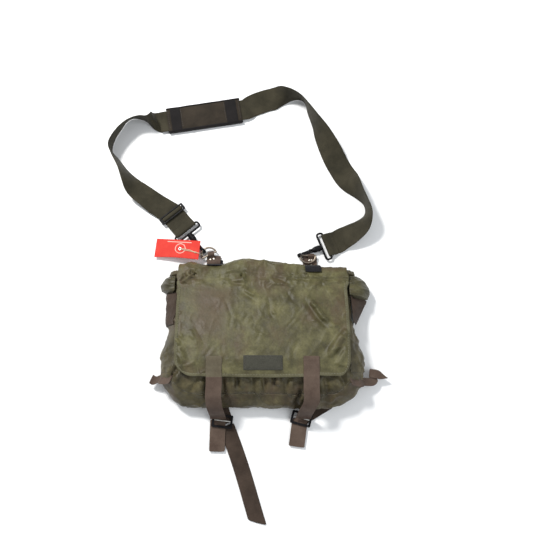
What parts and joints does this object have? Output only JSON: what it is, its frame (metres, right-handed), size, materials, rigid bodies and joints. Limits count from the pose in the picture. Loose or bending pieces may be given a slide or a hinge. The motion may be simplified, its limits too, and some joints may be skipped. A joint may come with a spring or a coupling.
{
  "type": "shoulder bag",
  "caption": "Soft nylon shoulder bag lying on its back, with a buckled flap, snap hooks and a padded shoulder strap.",
  "frame": {"origin": "on the back panel's rest face, under the middle of the bag's width, 118 mm below its top edge", "axes": "+Z out of the flap, away from the surface the bag lies on; +Y towards the top of the bag and its strap; +X to the right seen from above"},
  "size_m": [0.4719, 0.7394, 0.0684],
  "materials": {
    "body_nylon": "coated nylon, soft sheen",
    "ear_nylon": "coated nylon, gathered",
    "binding_tape": "woven tape",
    "flap_nylon": "coated nylon, soft sheen",
    "brown_webbing": "woven polyester webbing",
    "strap_webbing": "woven nylon webbing",
    "black_coating": "satin black",
    "black_patch": "dark woven patch",
    "worn_steel": "bare worn steel",
    "pale_rivet": "nickel",
    "ring_metal": "antique nickel",
    "patch_panel": "short loop pile",
    "pad_foam_cover": "black webbing over foam",
    "pad_cover_fabric": "woven nylon",
    "pad_band_webbing": "black webbing",
    "red_card": "coated card",
    "eyelet_metal": "satin",
    "string": "twisted cotton"
  },
  "bodies": {
    "bag": {"back_panel": "body_nylon", "front_panel": "body_nylon", "bottom_gusset": "body_nylon", "side_gusset_left": "body_nylon", "side_gusset_right": "body_nylon", "side_ear_left": "ear_nylon", "side_ear_right": "ear_nylon", "mouth_binding": "binding_tape", "flap_spine": "flap_nylon", "side_webbing_left": "brown_webbing", "side_webbing_right": "brown_webbing", "side_strap_left": "brown_webbing", "side_strap_right": "brown_webbing", "hanger_tab_left": "brown_webbing", "hanger_tab_right": "brown_webbing", "anchor_strap_left": "brown_webbing", "anchor_strap_right": "brown_webbing", "closure_tail_left": "brown_webbing", "strap_end_left": "strap_webbing", "strap_end_right": "strap_webbing", "shoulder_strap": "strap_webbing", "hook_loop_left": "black_coating", "hook_loop_right": "black_coating", "tab_keeper_left": "black_patch", "tab_keeper_right": "black_patch", "tab_rivets_left": "pale_rivet", "tab_rivets_right": "pale_rivet"},
    "flap": {"flap_panel": "flap_nylon", "flap_binding": "binding_tape", "name_patch": "patch_panel", "closure_strap_left": "brown_webbing", "closure_strap_right": "brown_webbing", "buckle_frame_left": "black_coating", "buckle_frame_right": "black_coating", "pull_tab_left": "brown_webbing", "pull_tab_right": "brown_webbing"},
    "bar_left": {"buckle_bar_left": "worn_steel"},
    "bar_right": {"buckle_bar_right": "worn_steel"},
    "ring_left": {"d_ring_left": "ring_metal"},
    "ring_right": {"d_ring_right": "ring_metal"},
    "hook_left": {"hook_body_left": "black_coating", "gate_pin_left": "worn_steel"},
    "hook_right": {"hook_body_right": "black_coating", "gate_pin_right": "worn_steel"},
    "gate_left": {"hook_gate_left": "black_coating"},
    "gate_right": {"hook_gate_right": "black_coating"},
    "slider": {"strap_slider": "black_coating"},
    "pad": {"pad_base": "pad_foam_cover", "pad_cover": "pad_cover_fabric", "pad_bands": "pad_band_webbing"},
    "tag": {"swing_tag": "red_card", "tag_eyelet": "eyelet_metal", "tag_string": "string"}
  },
  "joints": [
    {"name": "flap_hinge", "type": "hinge", "parent": "bag", "child": "flap", "pos_m": [0, 0.1, 0.0361], "axis": [-1, 0, 0], "range_deg": [0, 115]},
    {"name": "bar_slide_left", "type": "slide", "parent": "flap", "child": "bar_left", "axis": [0.1219, 0.9925, 0], "range_m": [-0.004, 0.003]},
    {"name": "bar_slide_right", "type": "slide", "parent": "flap", "child": "bar_right", "axis": [0.2588, 0.9659, 0], "range_m": [-0.004, 0.003]},
    {"name": "ring_hinge_left", "type": "hinge", "parent": "bag", "child": "ring_left", "pos_m": [-0.09, 0.144, 0.007], "axis": [0.891, 0.454, 0], "range_deg": [0, 2]},
    {"name": "ring_hinge_right", "type": "hinge", "parent": "bag", "child": "ring_right", "pos_m": [0.0775, 0.143, 0.007], "axis": [-1, 0, 0], "range_deg": [0, 4]},
    {"name": "hook_swivel_left", "type": "hinge", "parent": "bag", "child": "hook_left", "pos_m": [-0.1314, 0.1895, 0.0055], "axis": [0.6428, -0.766, 0], "range_deg": [-8, 8]},
    {"name": "gate_hinge_left", "type": "hinge", "parent": "hook_left", "child": "gate_left", "pos_m": [-0.1118, 0.16614, 0.0113], "axis": [0.766, 0.6428, 0], "range_deg": [0, 22], "stiffness_Nm_per_rad": 0.002, "springref_deg": -20.05},
    {"name": "hook_swivel_right", "type": "hinge", "parent": "bag", "child": "hook_right", "pos_m": [0.1105, 0.1616, 0.0055], "axis": [-0.9336, -0.3584, 0], "range_deg": [-4, 8]},
    {"name": "gate_hinge_right", "type": "hinge", "parent": "hook_right", "child": "gate_right", "pos_m": [0.08203, 0.15067, 0.0113], "axis": [0.3584, -0.9336, 0], "range_deg": [0, 7], "stiffness_Nm_per_rad": 0.002, "springref_deg": -20.05},
    {"name": "slider_slide", "type": "slide", "parent": "bag", "child": "slider", "axis": [-0.6428, 0.766, 0], "range_m": [-0.01, 0.01]},
    {"name": "pad_slide", "type": "slide", "parent": "bag", "child": "pad", "axis": [0.9866, 0.1633, 0], "range_m": [-0.006, 0.006]},
    {"name": "tag_lift", "type": "hinge", "parent": "bag", "child": "tag", "pos_m": [-0.103, 0.144, 0.007], "axis": [0, 1, 0], "range_deg": [0, 30]}
  ]
}
